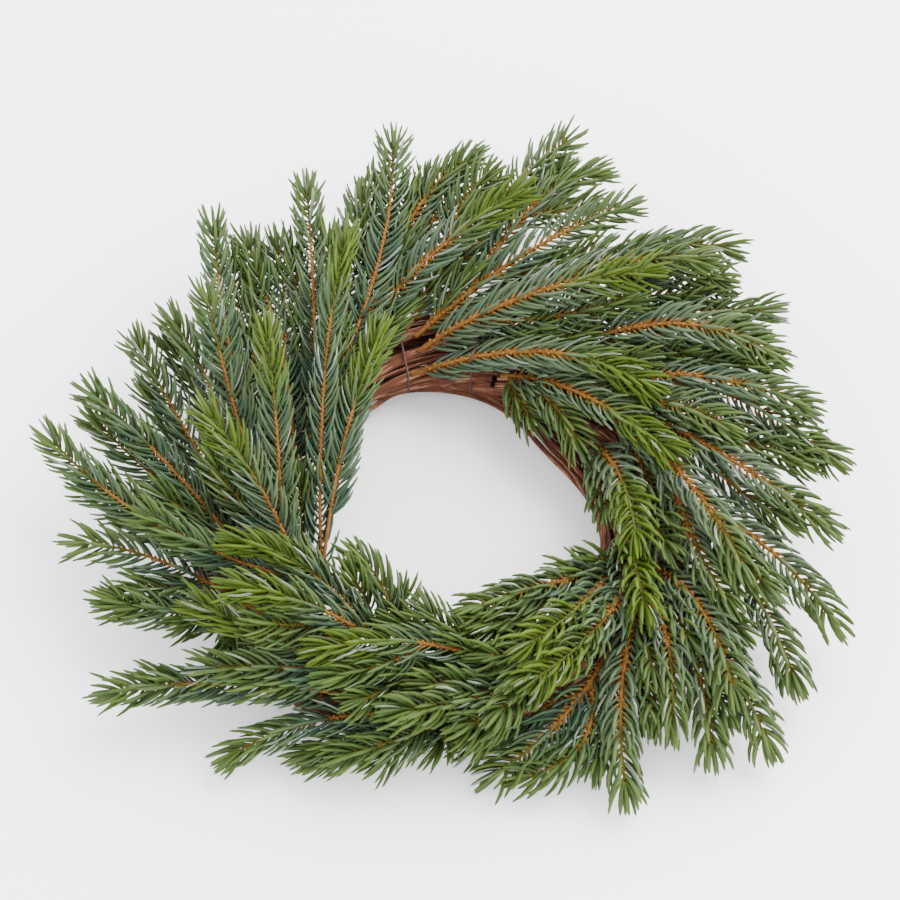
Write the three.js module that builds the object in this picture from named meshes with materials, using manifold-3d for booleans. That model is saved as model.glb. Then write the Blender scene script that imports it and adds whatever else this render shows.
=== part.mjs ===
// A fresh evergreen wreath: spruce sprays bound with wire on a ring of twisted vines.
// Millimetres, +Z up. It lies flat on its back, with the sprays on top sweeping clockwise round the ring.
import * as THREE from 'three';
import { mergeVertices } from 'three/addons/utils/BufferGeometryUtils.js';
import Module from 'manifold-3d';

// The ring of vines: each vine is wound twice round, twisting over and under the others
const RING_RADIUS = 125;
const RING_HALF_WIDTH = 24.5;
const RING_HALF_HEIGHT = 12;
const RING_HEIGHT = 17.6;
const VINES = 5;
const VINE_RADIUS = 2.7;
const VINE_SIDES = 5;
const VINE_TURNS = 2;
const VINE_TWISTS = 1.5;
const VINE_STEPS = 30;
const VINE_ENDS_APART = 4;

// Three places where the lowest vine dips to the table and is worn flat
const FEET = [60, 180, 300];
const FOOT_DROP = 3.8;
const FOOT_REACH = 18;

// The wire that binds the sprays' butts to the ring: where round the ring, and how high the stems it passes over
const WIRE_RADIUS = 0.8;
const WIRE_SIDES = 4;
const WIRE_SLACK = 0.45;
const WIRE_PITCH = 3;
const WIRES = [
  { bearing: 78, over: 49 },
  { bearing: 101, over: 40 },
  { bearing: 207, over: 53 },
  { bearing: 260, over: 48 },
  { bearing: 342, over: 55 },
  { bearing: 30, over: 55 },
];
const WIRE_BEND = 2;

// Stems and needles
const BUTT_RADIUS = 2.1;
const FORK_RADIUS = 1.7;
const TIP_RADIUS = 1.25;
const STEM_SIDES = 4;
const STEM_STEP = 28;
const NEW_GROWTH_LENGTH = 34;
const NEEDLE_LENGTH = 21;
const NEEDLE_RADIUS = 0.9;
const NEEDLE_SPACING = 9;
const NEEDLE_LEAN = 40;
const TIP_NEEDLE_LEAN = 12;
const BARE_BUTT = 12;
const CLEARANCE = 0.35;

// Where a needle would meet another spray it is bent forward or back, in degrees, or grows from another side
const BENDS = [0, -16, 16];
const SIDES_TRIED = [0, 1, 3, 2];

// Where each spray lies, from the ring's centre on the table: the main shoot from its cut butt, by the
// middle of its bow, to its tip, then side shoots, each from a share of the way along the main one.
// fresh marks a tip of bright new growth.
const SPRAYS = {
  left: [
    { main: [[-104, 4, 26.7], [-46, 132, 60], [-31, 254, 64]],
      sides: [{ from: 0.2, run: [[-79, 140, 60], [-85, 220, 60]] }] },
    { main: [[-72, -72, 26.6], [-60, 14, 60], [-38, 100, 70]], fresh: true,
      sides: [{ from: 0.12, run: [[-70, 66, 72], [-58, 161, 86]], fresh: true }] },
    { main: [[-92, -44, 25.7], [-92, 66, 47], [-122, 184, 52]],
      sides: [{ from: 0.6, run: [[-98, 148, 50], [-104, 182, 52]] }] },
    { main: [[-96, -30, 27], [-126, 82, 56], [-143, 190, 60]], sides: [] },
    { main: [[-82, -64, 28.4], [-117, 25, 66], [-142, 121, 80]],
      sides: [{ from: 0.15, run: [[-97, 25, 78], [-105, 88, 90]], fresh: true }] },
    { main: [[-100, -46, 31.9], [-140, 18, 48], [-186, 112, 50]],
      sides: [{ from: 0.15, run: [[-134, 54, 58], [-165, 117, 62]] }] },
    { main: [[-100, -60, 32.4], [-152, 2, 56], [-211, 64, 60]],
      sides: [{ from: 0.15, run: [[-176, -20, 54], [-233, 30, 60]] }] },
    { main: [[-72, -82, 31], [-98, -24, 66], [-138, 35, 82]], fresh: true,
      sides: [{ from: 0.2, run: [[-126, -52, 62], [-170, -29, 70]] }] },
  ],
  lower_left: [
    { main: [[-92, -84, 33], [-156, -50, 46], [-217, -32, 46]],
      sides: [{ from: 0.15, run: [[-150, -79, 43], [-194, -69, 40]] }] },
    { main: [[-22, -104, 30.2], [-70, -92, 70], [-117, -84, 82]], fresh: true,
      sides: [
        { from: 0.15, run: [[-78, -64, 68], [-116, -53, 76]], fresh: true },
        { from: 0.02, run: [[-32, -73, 58], [-56, -42, 62]] },
      ] },
    { main: [[40, -112, 33.1], [-12, -108, 58], [-66, -117, 66]], fresh: true, sides: [] },
    { main: [[-8, -118, 32.7], [-72, -121, 50], [-133, -119, 48]],
      sides: [{ from: 0.3, run: [[-92, -106, 56], [-139, -84, 60]], fresh: true }] },
    { main: [[-44, -127, 27.5], [-124, -126, 38], [-197, -125, 32]], sides: [] },
    { main: [[14, -134, 29.6], [-34, -150, 30], [-78, -158, 15]],
      sides: [
        { from: 0.05, run: [[-14, -155, 36], [-54, -166, 30]] },
        { from: 0.25, run: [[-66, -141, 30], [-124, -159, 18]] },
      ] },
  ],
  lower_right: [
    { main: [[74, -118, 32.4], [24, -139, 48], [-17, -149, 50]],
      sides: [{ from: 0.25, run: [[40, -143, 46], [15, -155, 46]] }] },
    { main: [[107, -39, 32.7], [84, -82, 60], [51, -116, 70]], fresh: true,
      sides: [
        { from: 0.1, run: [[62, -64, 52], [15, -81, 56]] },
        { from: 0.3, run: [[58, -105, 52], [28, -113, 52]] },
      ] },
    { main: [[108, -14, 31.2], [103, -80, 58], [53, -137, 66]], fresh: true,
      sides: [{ from: 0.1, run: [[114, -52, 56], [119, -86, 60]] }] },
    { main: [[92, 54, 24.9], [108, 6, 56], [115, -41, 64]], fresh: true, sides: [] },
    { main: [[98, -98, 28], [70, -142, 28], [29, -172, 13]],
      sides: [{ from: 0.2, run: [[82, -156, 25], [46, -175, 15]] }] },
    { main: [[122, -48, 34.1], [106, -122, 38], [108, -184, 18]],
      sides: [{ from: 0.1, run: [[132, -98, 46], [134, -146, 32]] }] },
    { main: [[122, -26, 34.3], [146, -100, 40], [157, -158, 22]],
      sides: [{ from: 0.12, run: [[154, -84, 50], [169, -131, 44]] }] },
    { main: [[128, -12, 29.2], [164, -96, 38], [191, -156, 22]], sides: [] },
    { main: [[128, 12, 34.2], [186, -24, 48], [231, -69, 36]],
      sides: [
        { from: 0.3, run: [[178, -46, 54], [194, -69, 52]] },
        { from: 0.15, run: [[182, -56, 42], [208, -111, 28]] },
      ] },
  ],
  right: [
    { main: [[106, 64, 32.3], [146, 2, 62], [177, -60, 62]], sides: [] },
    { main: [[94, 82, 32.5], [160, 28, 58], [228, -21, 52]],
      sides: [{ from: 0.15, run: [[140, 54, 62], [171, 38, 64]] }] },
    { main: [[80, 88, 33.4], [156, 74, 64], [227, 54, 62]],
      sides: [{ from: 0.3, run: [[182, 62, 58], [236, 27, 52]] }] },
    { main: [[56, 104, 30.4], [135, 110, 68], [207, 85, 68]],
      sides: [{ from: 0.4, run: [[160, 124, 58], [201, 126, 58]] }] },
    { main: [[58, 124, 32.6], [124, 170, 56], [185, 174, 58]],
      sides: [{ from: 0.35, run: [[148, 155, 61], [183, 146, 64]] }] },
  ],
  top: [
    { main: [[-14, 114, 32.8], [52, 128, 72], [126, 136, 86]], fresh: true,
      sides: [{ from: 0.3, run: [[98, 152, 70], [161, 153, 76]] }] },
    { main: [[-16, 126, 31.5], [52, 171, 57], [120, 210, 58]],
      sides: [{ from: 0.25, run: [[58, 212, 52], [102, 244, 50]] }] },
    { main: [[-22, 132, 31.1], [32, 212, 48], [85, 278, 46]],
      sides: [{ from: 0.2, run: [[12, 206, 58], [33, 237, 64]] }] },
    { main: [[-46, 112, 34.2], [-22, 194, 54], [19, 254, 58]],
      sides: [{ from: 0.12, run: [[-2, 168, 66], [50, 203, 80]], fresh: true }] },
    { main: [[38, 98, 30], [84, 66, 58], [136, 20, 66]], fresh: true,
      sides: [{ from: 0.12, run: [[70, 64, 46], [84, 38, 44]] }] },
    { main: [[-18, 100, 27.7], [62, 92, 64], [124, 62, 72]], fresh: true, sides: [] },
  ],
};

const VINE_MATERIAL = new THREE.MeshStandardMaterial({ color: 0x96553c, roughness: 0.85, metalness: 0 });
const WIRE_MATERIAL = new THREE.MeshStandardMaterial({ color: 0x6e5046, roughness: 0.5, metalness: 0.6 });
const NEEDLE_MATERIAL = new THREE.MeshStandardMaterial({ color: 0x3f6848, roughness: 0.6, metalness: 0 });
const NEW_GROWTH_MATERIAL = new THREE.MeshStandardMaterial({ color: 0x74993a, roughness: 0.6, metalness: 0 });

const { degToRad, lerp } = THREE.MathUtils;
const wasm = await Module();
wasm.setup();

// The same draws on every build
let seed = 7;
function random() {
  seed = (seed * 16807) % 2147483647;
  return seed / 2147483647;
}

// A path through given stations, which a tube takes a section at each of
class Stations extends THREE.Curve {
  constructor(points) {
    super();
    this.points = points;
  }

  getPoint(t, target = new THREE.Vector3()) {
    const place = t * (this.points.length - 1);
    const before = THREE.MathUtils.clamp(Math.floor(place), 0, this.points.length - 2);
    return target.lerpVectors(this.points[before], this.points[before + 1], place - before);
  }

  getPointAt(u, target) {
    return this.getPoint(u, target);
  }

  getTangentAt(u, target) {
    return this.getTangent(u, target);
  }
}

// A closed tube with a regular section of its own radius at each station
function tube(points, radii, sides) {
  const corners = [];
  for (let corner = 0; corner < sides; corner += 1) {
    const turn = 2 * Math.PI * corner / sides;
    corners.push(new THREE.Vector2(radii[0] * Math.cos(turn), radii[0] * Math.sin(turn)));
  }
  const geometry = new THREE.ExtrudeGeometry(new THREE.Shape(corners), {
    steps: points.length - 1,
    bevelEnabled: false,
    extrudePath: new Stations(points),
  });
  if (radii.some((radius) => radius !== radii[0])) {
    drawIn(geometry, points, radii);
  }
  return geometry;
}

// Each corner moves towards the station it stands round, so that the tube tapers
function drawIn(geometry, points, radii) {
  const place = geometry.getAttribute('position');
  const corner = new THREE.Vector3();
  for (let index = 0; index < place.count; index += 1) {
    corner.fromBufferAttribute(place, index);
    const distances = points.map((point) => point.distanceTo(corner));
    const nearest = distances.indexOf(Math.min(...distances));
    corner.sub(points[nearest]).multiplyScalar(radii[nearest] / radii[0]).add(points[nearest]);
    place.setXYZ(index, corner.x, corner.y, corner.z);
  }
}

function solid(geometry) {
  const bare = geometry.clone();
  bare.deleteAttribute('normal');
  bare.deleteAttribute('uv');
  const merged = mergeVertices(bare, 1e-4);
  return new wasm.Manifold(new wasm.Mesh({
    numProp: 3,
    vertProperties: merged.getAttribute('position').array,
    triVerts: new Uint32Array(merged.index.array),
  }));
}

// The largest body of a solid: a hollow that joining sealed is filled, and a loose scrap is dropped
function geometryOf(joined) {
  const bodies = joined.decompose();
  bodies.sort((one, other) => other.volume() - one.volume());
  const mesh = bodies[0].getMesh();
  const geometry = new THREE.BufferGeometry();
  geometry.setAttribute('position', new THREE.BufferAttribute(new Float32Array(mesh.vertProperties), 3));
  geometry.setIndex(new THREE.BufferAttribute(new Uint32Array(mesh.triVerts), 1));
  const faceted = geometry.toNonIndexed();
  faceted.computeVertexNormals();
  return faceted;
}

// Rods: the straight pieces that stems, vines, wires and needles are made of, kept to test how near they are
const rods = [];

function addRods(points, radii, node) {
  for (let index = 1; index < points.length; index += 1) {
    rods.push({
      start: points[index - 1], end: points[index],
      startRadius: radii[index - 1], endRadius: radii[index], node,
    });
  }
}

// The gap between two tapering rods, from the nearest points of their axes
function gapBetween(one, other) {
  const along = one.end.clone().sub(one.start);
  const across = other.end.clone().sub(other.start);
  const between = one.start.clone().sub(other.start);
  const a = along.lengthSq();
  const b = along.dot(across);
  const c = across.lengthSq();
  const d = along.dot(between);
  const e = across.dot(between);
  const spread = a * c - b * b;
  const { clamp } = THREE.MathUtils;
  const onFirst = spread > 1e-6 ? clamp((b * e - c * d) / spread, 0, 1) : 0;
  const t = clamp((b * onFirst + e) / c, 0, 1);
  const s = clamp((b * t - d) / a, 0, 1);
  const nearest = one.start.clone().addScaledVector(along, s);
  const distance = nearest.distanceTo(other.start.clone().addScaledVector(across, t));
  return distance - lerp(one.startRadius, one.endRadius, s) - lerp(other.startRadius, other.endRadius, t);
}

function isClear(rod) {
  const middle = rod.start.clone().lerp(rod.end, 0.5);
  const reach = rod.start.distanceTo(rod.end) / 2 + 2 * VINE_RADIUS;
  for (const other of rods) {
    if (other.node === rod.node) continue;
    const otherMiddle = other.start.clone().lerp(other.end, 0.5);
    if (middle.distanceTo(otherMiddle) > reach + other.start.distanceTo(other.end) / 2) continue;
    if (gapBetween(rod, other) < CLEARANCE) return false;
  }
  return Math.min(rod.end.z, rod.start.z) > NEEDLE_RADIUS;
}

const wreath = new THREE.Group();

function addNode(name, geometry, material) {
  const mesh = new THREE.Mesh(geometry, material);
  mesh.name = name;
  wreath.add(mesh);
}

// Vines. A vine's place in the ring's oval section turns as it goes round, 180 degrees out on its second
// turn, so that all passes stay evenly apart. Under each foot the lowest one dips to the table.
function vineStation(vine, bearing) {
  const roll = 2 * Math.PI * vine / (2 * VINES) + VINE_TWISTS * bearing;
  const radius = RING_RADIUS + RING_HALF_WIDTH * Math.cos(roll);
  const underside = Math.max(0, -Math.sin(roll)) ** 6;
  let height = RING_HEIGHT + RING_HALF_HEIGHT * Math.sin(roll);
  for (const foot of FEET) {
    const away = THREE.MathUtils.euclideanModulo(bearing - degToRad(foot) + Math.PI, 2 * Math.PI) - Math.PI;
    const share = Math.abs(away) / degToRad(FOOT_REACH);
    if (share < 1) {
      height -= FOOT_DROP * underside * (1 + Math.cos(Math.PI * share)) / 2;
    }
  }
  return new THREE.Vector3(radius * Math.cos(bearing), radius * Math.sin(bearing), height);
}

const belowTable = new THREE.BoxGeometry(4 * RING_RADIUS, 4 * RING_RADIUS, 10);
belowTable.translate(0, 0, -5);
const table = solid(belowTable);
for (let vine = 0; vine < VINES; vine += 1) {
  const start = 2 * Math.PI * vine / VINES;
  const sweep = 2 * Math.PI * VINE_TURNS;
  const steps = VINE_STEPS * VINE_TURNS;
  const points = [];
  for (let step = 0; step < steps; step += 1) {
    points.push(vineStation(vine, start + sweep * step / steps));
  }
  points.push(vineStation(vine, start + sweep - VINE_ENDS_APART / RING_RADIUS));
  const radii = points.map(() => VINE_RADIUS);
  const name = `vine_${vine + 1}`;
  addRods(points, radii, name);
  addNode(name, geometryOf(solid(tube(points, radii, VINE_SIDES)).subtract(table)), VINE_MATERIAL);
}

// Shoots: each is one bow through its root, its middle and its tip
function bow(root, middle, tip) {
  const control = middle.clone().multiplyScalar(2).sub(root.clone().lerp(tip, 0.5));
  return new THREE.QuadraticBezierCurve3(root, control, tip);
}

const shoots = [];
const solids = new Map();

function addSolid(node, geometry) {
  if (!solids.has(node)) {
    solids.set(node, []);
  }
  solids.get(node).push(solid(geometry));
}

// One length of a shoot, from one share of its bow to another, in a node of its own
function addStretch(curve, from, to, rootRadius, node) {
  const steps = Math.max(2, Math.round(curve.getLength() * (to - from) / STEM_STEP));
  const points = [];
  const radii = [];
  for (let step = 0; step <= steps; step += 1) {
    const share = lerp(from, to, step / steps);
    points.push(curve.getPointAt(share));
    radii.push(lerp(rootRadius, TIP_RADIUS, share));
  }
  addRods(points, radii, node);
  addSolid(node, tube(points, radii, STEM_SIDES));
  const path = new Stations(points);
  return { from, to, node, path, steps, frames: path.computeFrenetFrames(steps, false) };
}

function addShoot(curve, rootRadius, spray, fresh, tipNode) {
  const length = curve.getLength();
  const cut = fresh ? 1 - NEW_GROWTH_LENGTH / length : 1;
  const stretches = [addStretch(curve, 0, cut, rootRadius, spray)];
  if (fresh) {
    stretches.push(addStretch(curve, cut + CLEARANCE / length, 1, rootRadius, tipNode));
  }
  shoots.push({ length, stretches });
}

for (const [place, sprays] of Object.entries(SPRAYS)) {
  sprays.forEach(({ main, fresh, sides }, index) => {
    const spray = `spray_${place}_${index + 1}`;
    const tipNode = `new_growth_${place}_${index + 1}`;
    const [butt, middle, tip] = main.map((point) => new THREE.Vector3(...point));
    const mainBow = bow(butt, middle, tip);
    addShoot(mainBow, BUTT_RADIUS, spray, fresh, tipNode);
    for (const side of sides) {
      const [sideMiddle, sideTip] = side.run.map((point) => new THREE.Vector3(...point));
      const sideBow = bow(mainBow.getPoint(side.from), sideMiddle, sideTip);
      addShoot(sideBow, FORK_RADIUS, spray, side.fresh, `${tipNode}_side`);
    }
  });
}

// Binding wire: drawn tight round the vines and stems that cross its bearing, its ends lying side by side
function hull(points) {
  const sorted = [...points].sort((one, other) => one.x - other.x || one.y - other.y);
  const turnsLeft = (a, b, c) => (b.x - a.x) * (c.y - a.y) - (b.y - a.y) * (c.x - a.x) > 1e-3;
  const halves = [sorted, [...sorted].reverse()].map((half) => {
    const chain = [];
    for (const point of half) {
      while (chain.length > 1 && !turnsLeft(chain.at(-2), chain.at(-1), point)) {
        chain.pop();
      }
      chain.push(point);
    }
    return chain.slice(0, -1);
  });
  return halves.flat();
}

function boundOutline(bearing, over) {
  const outward = new THREE.Vector3(Math.cos(bearing), Math.sin(bearing), 0);
  const onward = new THREE.Vector3(-outward.y, outward.x, 0);
  const corners = [];
  for (const rod of rods) {
    const samples = Math.ceil(rod.start.distanceTo(rod.end));
    for (let sample = 0; sample <= samples; sample += 1) {
      const point = rod.start.clone().lerp(rod.end, sample / samples);
      const inRing = Math.abs(point.dot(outward) - RING_RADIUS) < RING_HALF_WIDTH + 3 * VINE_RADIUS;
      const crossing = Math.abs(point.dot(onward)) < WIRE_PITCH;
      if (!inRing || !crossing || point.z > over) continue;
      const reach = (Math.max(rod.startRadius, rod.endRadius) + WIRE_SLACK + WIRE_RADIUS) / Math.cos(Math.PI / 8);
      for (let corner = 0; corner < 8; corner += 1) {
        const turn = Math.PI * (corner + 0.5) / 4;
        corners.push(new THREE.Vector2(
          point.dot(outward) + reach * Math.cos(turn),
          point.z + reach * Math.sin(turn),
        ));
      }
    }
  }
  const outline = hull(corners);
  return outline.filter((corner, index) => corner.distanceTo(outline.at(index - 1)) > WIRE_BEND);
}

WIRES.forEach((wire, index) => {
  const bearing = degToRad(wire.bearing);
  const outline = boundOutline(bearing, wire.over);
  outline.push(outline[0]);
  const points = outline.map((corner, step) => {
    const shift = WIRE_PITCH * (step / (outline.length - 1) - 0.5);
    return new THREE.Vector3(
      corner.x * Math.cos(bearing) - shift * Math.sin(bearing),
      corner.x * Math.sin(bearing) + shift * Math.cos(bearing),
      corner.y,
    );
  });
  const radii = points.map(() => WIRE_RADIUS);
  const name = `binding_wire_${index + 1}`;
  addRods(points, radii, name);
  addNode(name, geometryOf(solid(tube(points, radii, WIRE_SIDES))), WIRE_MATERIAL);
});

// Needles: three-sided spikes on all sides of each stem in turn, from the tip inwards, turned aside from
// other sprays. Each starts on the stem's axis and leaves through the middle of one of its facets.
function needleRod(stretch, share, lean, turn) {
  const place = (share - stretch.from) / (stretch.to - stretch.from);
  const frame = Math.min(Math.floor(place * stretch.steps), stretch.steps - 1);
  const { tangents, normals, binormals } = stretch.frames;
  const direction = new THREE.Vector3()
    .addScaledVector(tangents[frame], Math.cos(lean))
    .addScaledVector(normals[frame], Math.sin(lean) * Math.cos(turn))
    .addScaledVector(binormals[frame], Math.sin(lean) * Math.sin(turn))
    .normalize();
  const start = stretch.path.getPoint(place);
  const end = start.clone().addScaledVector(direction, NEEDLE_LENGTH);
  return { start, end, direction, startRadius: NEEDLE_RADIUS, endRadius: 0, node: stretch.node };
}

function needle(rod) {
  const spike = new THREE.ConeGeometry(NEEDLE_RADIUS, NEEDLE_LENGTH, 3, 1);
  spike.translate(0, NEEDLE_LENGTH / 2, 0);
  spike.applyQuaternion(new THREE.Quaternion().setFromUnitVectors(new THREE.Vector3(0, 1, 0), rod.direction));
  return spike.translate(rod.start.x, rod.start.y, rod.start.z);
}

const FACET_ORDER = [0, 2, 1, 3];
const mostNeedles = Math.ceil(Math.max(...shoots.map((shoot) => shoot.length)) / NEEDLE_SPACING);
for (let count = 0; count < mostNeedles; count += 1) {
  for (const { length, stretches } of shoots) {
    const share = 1 - count * NEEDLE_SPACING / length;
    if (share * length < BARE_BUTT) continue;
    const stretch = stretches.find(({ from, to }) => share >= from && share <= to);
    if (!stretch) continue;
    const lean = count === 0 ? TIP_NEEDLE_LEAN : NEEDLE_LEAN + 8 * (random() - 0.5);
    const tries = SIDES_TRIED.flatMap((side) => BENDS.map((bend) => ({ side, bend })));
    for (const { side, bend } of tries) {
      const facet = FACET_ORDER[(count + side) % STEM_SIDES] + 0.5;
      const rod = needleRod(stretch, share, degToRad(lean + bend), 2 * Math.PI * facet / STEM_SIDES);
      if (isClear(rod)) {
        rods.push(rod);
        addSolid(stretch.node, needle(rod));
        break;
      }
    }
  }
}

for (const [node, pieces] of solids) {
  const material = node.startsWith('new_growth') ? NEW_GROWTH_MATERIAL : NEEDLE_MATERIAL;
  addNode(node, geometryOf(wasm.Manifold.union(pieces)), material);
}

// The origin is on the table, under the middle of the whole wreath
const extent = new THREE.Box3().setFromObject(wreath);
const centre = extent.getCenter(new THREE.Vector3());
wreath.position.set(-centre.x, -centre.y, 0);

export default wreath;
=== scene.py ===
"""A fresh evergreen wreath: spruce sprays bound with wire on a ring of twisted vines, seen from above."""
import math

import bmesh
import bpy
import numpy as np
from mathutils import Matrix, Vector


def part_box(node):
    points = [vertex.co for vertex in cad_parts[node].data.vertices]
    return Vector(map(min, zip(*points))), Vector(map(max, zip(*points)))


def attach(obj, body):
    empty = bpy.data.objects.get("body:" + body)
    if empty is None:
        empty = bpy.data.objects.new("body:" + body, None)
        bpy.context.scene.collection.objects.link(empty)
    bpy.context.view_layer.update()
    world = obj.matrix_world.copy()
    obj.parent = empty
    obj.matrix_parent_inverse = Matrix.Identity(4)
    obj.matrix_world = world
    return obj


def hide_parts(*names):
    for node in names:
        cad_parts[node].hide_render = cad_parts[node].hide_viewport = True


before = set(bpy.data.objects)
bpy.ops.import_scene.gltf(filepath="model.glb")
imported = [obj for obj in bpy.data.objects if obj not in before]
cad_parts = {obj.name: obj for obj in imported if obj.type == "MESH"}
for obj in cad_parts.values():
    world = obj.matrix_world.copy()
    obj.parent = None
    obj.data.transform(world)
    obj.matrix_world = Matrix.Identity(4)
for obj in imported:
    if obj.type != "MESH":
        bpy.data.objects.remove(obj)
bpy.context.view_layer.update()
scene = bpy.context.scene
MM = 0.001

# The camera looks down on the wreath from 57 degrees above the table, from far enough that the far side
# is hardly smaller than the near one. It aims a little past the middle, as the photo's frame does.
ELEVATION = math.radians(57)
CAMERA_DISTANCE = 1.823
CAMERA_AIM = np.array([0.0036, -0.0107, 0.040])
FOCAL_LENGTH = 120
SENSOR_WIDTH = 36
FARTHEST_SEEN = 20
lens = bpy.data.cameras.new("camera")
lens.lens = FOCAL_LENGTH
lens.sensor_width = SENSOR_WIDTH
lens.clip_end = FARTHEST_SEEN
camera = bpy.data.objects.new("camera", lens)
camera.location = CAMERA_AIM + CAMERA_DISTANCE * np.array([0, -math.cos(ELEVATION), math.sin(ELEVATION)])
camera.rotation_euler = (math.pi / 2 - ELEVATION, 0, 0)
scene.collection.objects.link(camera)
scene.camera = camera

# The table top: a plain matt white sheet, wide enough to fill every view.
TABLE_HALF = 6.0
TABLE_WHITE = (0.9, 0.9, 0.9, 1)
TABLE_ROUGHNESS = 0.9


def new_material(name):
    """A new material, its node tree and the inputs of its shader."""
    material = bpy.data.materials.new(name)
    material.use_nodes = True
    tree = material.node_tree
    return material, tree, tree.nodes["Principled BSDF"].inputs


matt_white, _, surface = new_material("matt_white")
surface["Base Color"].default_value = TABLE_WHITE
surface["Roughness"].default_value = TABLE_ROUGHNESS
table_mesh = bpy.data.meshes.new("table_top")
table_corners = [(TABLE_HALF * x, TABLE_HALF * y, 0) for x, y in ((-1, -1), (1, -1), (1, 1), (-1, 1))]
table_mesh.from_pydata(table_corners, [], [(0, 1, 2, 3)])
table_mesh.materials.append(matt_white)
table_top = bpy.data.objects.new("table_top", table_mesh)
scene.collection.objects.link(table_top)

# Light: a broad soft window high up on the upper right, and a fill from all round, which is brightest near
# the horizon and so leaves the hole evenly grey.
KEY_PLACE = np.array([1.2, 1.0, 1.8])
KEY_SIZE = 2.4
KEY_POWER = 198
KEY_COLOUR = (1.0, 0.985, 0.96)
FILL_LOW = 10.1
FILL_HIGH = 1.2
FILL_COLOUR = (0.97, 0.98, 1.0, 1)


def feed(tree, socket, value):
    """Gives a shader's socket its value: a fixed one, or what another node puts out."""
    if isinstance(value, bpy.types.NodeSocket):
        tree.links.new(value, socket)
    else:
        socket.default_value = value


def ramp(tree, value, low, high, bottom=0.0, top=1.0, smooth=False):
    """A value that goes from bottom to top while another goes from low to high, in a straight line or as a
    smooth step, and is level beyond them."""
    node = tree.nodes.new("ShaderNodeMapRange")
    node.interpolation_type = "SMOOTHSTEP" if smooth else "LINEAR"
    feed(tree, node.inputs["Value"], value)
    feed(tree, node.inputs["From Min"], low)
    feed(tree, node.inputs["From Max"], high)
    feed(tree, node.inputs["To Min"], bottom)
    feed(tree, node.inputs["To Max"], top)
    return node.outputs["Result"]


key_light = bpy.data.lights.new("window", "AREA")
key_light.size = KEY_SIZE
key_light.energy = KEY_POWER
key_light.color = KEY_COLOUR
window = bpy.data.objects.new("window", key_light)
window.location = KEY_PLACE
aim = KEY_PLACE / np.linalg.norm(KEY_PLACE)
window.rotation_euler = (math.acos(aim[2]), 0, math.atan2(aim[1], aim[0]) + math.pi / 2)
scene.collection.objects.link(window)
scene.world = bpy.data.worlds.new("fill")
scene.world.use_nodes = True
sky = scene.world.node_tree
fill = sky.nodes["Background"].inputs
fill["Color"].default_value = FILL_COLOUR
direction = sky.nodes.new("ShaderNodeTexCoord")
split = sky.nodes.new("ShaderNodeSeparateXYZ")
feed(sky, split.inputs["Vector"], direction.outputs["Generated"])
feed(sky, fill["Strength"], ramp(sky, split.outputs["Z"], 0.0, 1.0, FILL_LOW, FILL_HIGH))

# The ring: five long grapevines, each wound twice round and twisted over and under the others. They are
# dry and red-brown, with paler fibres along the bark and a swelling at each old bud.
VINES = 5
VINE_SEED = 100
VINE_TURNS = 2
VINE_TWISTS = 1.5
VINE_RADIUS = 2.7 * MM
VINE_STATIONS = 420
VINE_SIDES = 14
RING_RADIUS = 125 * MM
RING_HALF_WIDTH = 24.5 * MM
RING_HALF_HEIGHT = 12 * MM
RING_HEIGHT = 17.6 * MM
FEET = np.radians([60, 180, 300])
FOOT_DROP = 3.8 * MM
FOOT_REACH = math.radians(18)
FOOT_NARROWNESS = 6
BETWEEN_RIDGES = 0.97
TWO_RIDGES = 0.075
FIVE_RIDGES = 0.05
SLOW_WANDER = 2.2
SLOW_WANDER_LENGTH = 37 * MM
LONG_WANDER = 1.3
LONG_WANDER_LENGTH = 83 * MM
BACK_WANDER = 1.6
BUD_SPACING = 62 * MM
BUD_SWELL = 0.34
BUD_REACH = 3.2 * MM
BUD_ONE_SIDED = 0.4
VINE_BROWN = (0.085, 0.028, 0.015, 1)
VINE_FIBRE = (0.28, 0.135, 0.074, 1)
VINE_STAIN = (0.020, 0.008, 0.006, 1)
VINE_GRAIN_SCALE = 700
VINE_PALE_SHARE = 0.5
VINE_GRAIN_DEPTH = 0.9 * MM
VINE_GRAIN_STRETCH = 14
FIBRE_DETAIL = 4
FIBRE_ROUGHNESS = 0.6
FIBRE_EDGE = 0.16
STAIN_SCALE = 60
STAIN_DETAIL = 3
STAIN_FADE = (0.45, 0.75)
STAIN_SHARE = 0.65
BARK_ROUGHNESS = (0.9, 0.62)
BARK_SHINE = 0.15


def unit(vectors):
    """Vectors at length one: each is divided by its own length."""
    return vectors / np.linalg.norm(vectors, axis=-1, keepdims=True)


def along_path(path):
    """Distance run from the start of a path to each of its points: the steps' lengths, added up."""
    steps = np.linalg.norm(np.diff(path, axis=0), axis=1)
    return np.concatenate([[0], np.cumsum(steps)])


def corner_angles(sides):
    """Angles of the corners round a section: equal parts of a full turn."""
    return 2 * math.pi * np.arange(sides) / sides


def round_ring(bearing, reach, height):
    """Points round the ring's middle: reach x cosine of the bearing, reach x its sine, height."""
    return np.stack([reach * np.cos(bearing), reach * np.sin(bearing), height], axis=1)


def vine_bearings(vine):
    """Bearings of a vine's stations: two turns from its own start, evenly spaced."""
    start = 2 * math.pi * vine / VINES
    return start + np.linspace(0, 2 * math.pi * VINE_TURNS, VINE_STATIONS, endpoint=False)


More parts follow.
